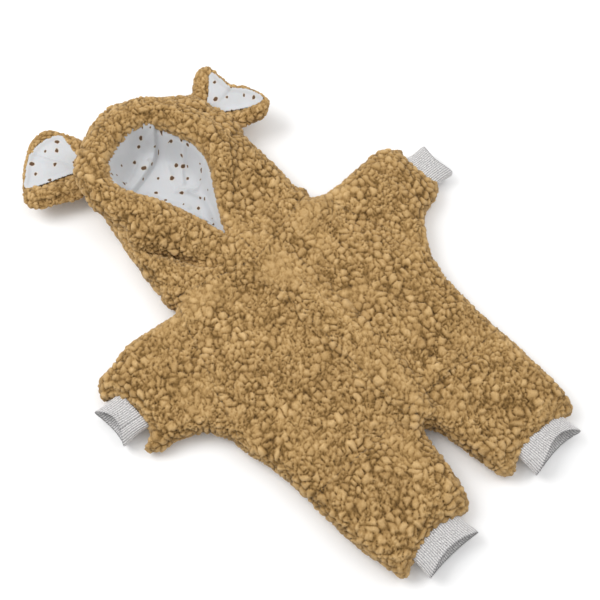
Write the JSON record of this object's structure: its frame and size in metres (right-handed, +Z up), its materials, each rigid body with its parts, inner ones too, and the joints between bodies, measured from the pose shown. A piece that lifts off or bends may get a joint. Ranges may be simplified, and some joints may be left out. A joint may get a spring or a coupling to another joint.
{
  "type": "hooded fleece baby romper",
  "caption": "Hooded one-piece baby suit in curly pile fleece, with ears on the hood, rib cuffs, spotted jersey lining and a hidden zip at the centre front.",
  "frame": {"origin": "middle of the suit as it lies, on the surface under its back", "axes": "+X to the wearer's left, +Y towards the hood, +Z up from the surface, out of the suit's front"},
  "size_m": [0.508, 0.6954, 0.0708],
  "materials": {
    "pile_fleece": "curly pile fleece, honey brown, matt with soft sheen on the curls",
    "jersey_lining": "fine cotton jersey, off-white with small brown oval spots",
    "rib_knit": "one-by-one rib knit, heather grey",
    "zip_tape": "woven tape, honey brown",
    "zip_nylon": "moulded nylon teeth, honey brown",
    "zip_metal": "satin nickel on zinc",
    "satin_label": "white satin ribbon, blank"
  },
  "bodies": {
    "torso": {"back_lining": "jersey_lining", "back_panel": "pile_fleece", "care_label": "satin_label", "front_left_lining": "jersey_lining", "front_left_panel": "pile_fleece", "front_right_lining": "jersey_lining", "front_right_panel": "pile_fleece", "hanger_loop": "zip_tape", "zip_bottom_stop": "zip_metal", "zip_guard": "jersey_lining", "zip_tape_left": "zip_tape", "zip_tape_right": "zip_tape", "zip_teeth_left": "zip_nylon", "zip_teeth_right": "zip_nylon", "zip_top_stop_left": "zip_metal", "zip_top_stop_right": "zip_metal"},
    "hood": {"hood_centre_lining": "jersey_lining", "hood_centre_panel": "pile_fleece", "hood_left_lining": "jersey_lining", "hood_left_panel": "pile_fleece", "hood_right_lining": "jersey_lining", "hood_right_panel": "pile_fleece"},
    "left_ear": {"left_ear_back": "pile_fleece", "left_ear_facing": "jersey_lining"},
    "right_ear": {"right_ear_back": "pile_fleece", "right_ear_facing": "jersey_lining"},
    "left_sleeve": {"left_sleeve_back": "pile_fleece", "left_sleeve_cuff": "rib_knit", "left_sleeve_front": "pile_fleece", "left_sleeve_lining": "jersey_lining"},
    "right_sleeve": {"right_sleeve_back": "pile_fleece", "right_sleeve_cuff": "rib_knit", "right_sleeve_front": "pile_fleece", "right_sleeve_lining": "jersey_lining"},
    "left_leg": {"left_leg_back": "pile_fleece", "left_leg_cuff": "rib_knit", "left_leg_front": "pile_fleece", "left_leg_lining": "jersey_lining"},
    "right_leg": {"right_leg_back": "pile_fleece", "right_leg_cuff": "rib_knit", "right_leg_front": "pile_fleece", "right_leg_lining": "jersey_lining"},
    "zip_slider": {"zip_slider": "zip_metal"},
    "zip_puller": {"zip_puller": "zip_metal"}
  },
  "joints": [
    {"name": "hood_fold", "type": "hinge", "parent": "torso", "child": "hood", "pos_m": [0, 0.0573, 0.04], "axis": [-1, 0, 0], "range_deg": [-120, 0]},
    {"name": "left_ear_flop", "type": "hinge", "parent": "hood", "child": "left_ear", "pos_m": [0.09612, 0.2291, 0.032], "axis": [0.2397, -0.9708, 0], "range_deg": [-40, 40]},
    {"name": "right_ear_flop", "type": "hinge", "parent": "hood", "child": "right_ear", "pos_m": [-0.07277, 0.2835, 0.028], "axis": [0.5438, 0.8392, 0], "range_deg": [-15, 70]},
    {"name": "left_sleeve_fold", "type": "hinge", "parent": "torso", "child": "left_sleeve", "pos_m": [0.1503, 0, 0.038], "axis": [0, -1, 0], "range_deg": [0, 150]},
    {"name": "right_sleeve_fold", "type": "hinge", "parent": "torso", "child": "right_sleeve", "pos_m": [-0.1503, 0, 0.038], "axis": [0, 1, 0], "range_deg": [0, 150]},
    {"name": "left_leg_fold", "type": "hinge", "parent": "torso", "child": "left_leg", "pos_m": [0.072, -0.2153, 0.038], "axis": [-1, 0, 0], "range_deg": [0, 150]},
    {"name": "right_leg_fold", "type": "hinge", "parent": "torso", "child": "right_leg", "pos_m": [-0.072, -0.2153, 0.038], "axis": [-1, 0, 0], "range_deg": [0, 150]},
    {"name": "zip_slide", "type": "slide", "parent": "torso", "child": "zip_slider", "axis": [0, 1, 0], "range_m": [-0.236, 0]},
    {"name": "puller_flip", "type": "hinge", "parent": "zip_slider", "child": "zip_puller", "pos_m": [0, 0.0417, 0.0356], "axis": [-1, 0, 0], "range_deg": [0, 140]}
  ]
}
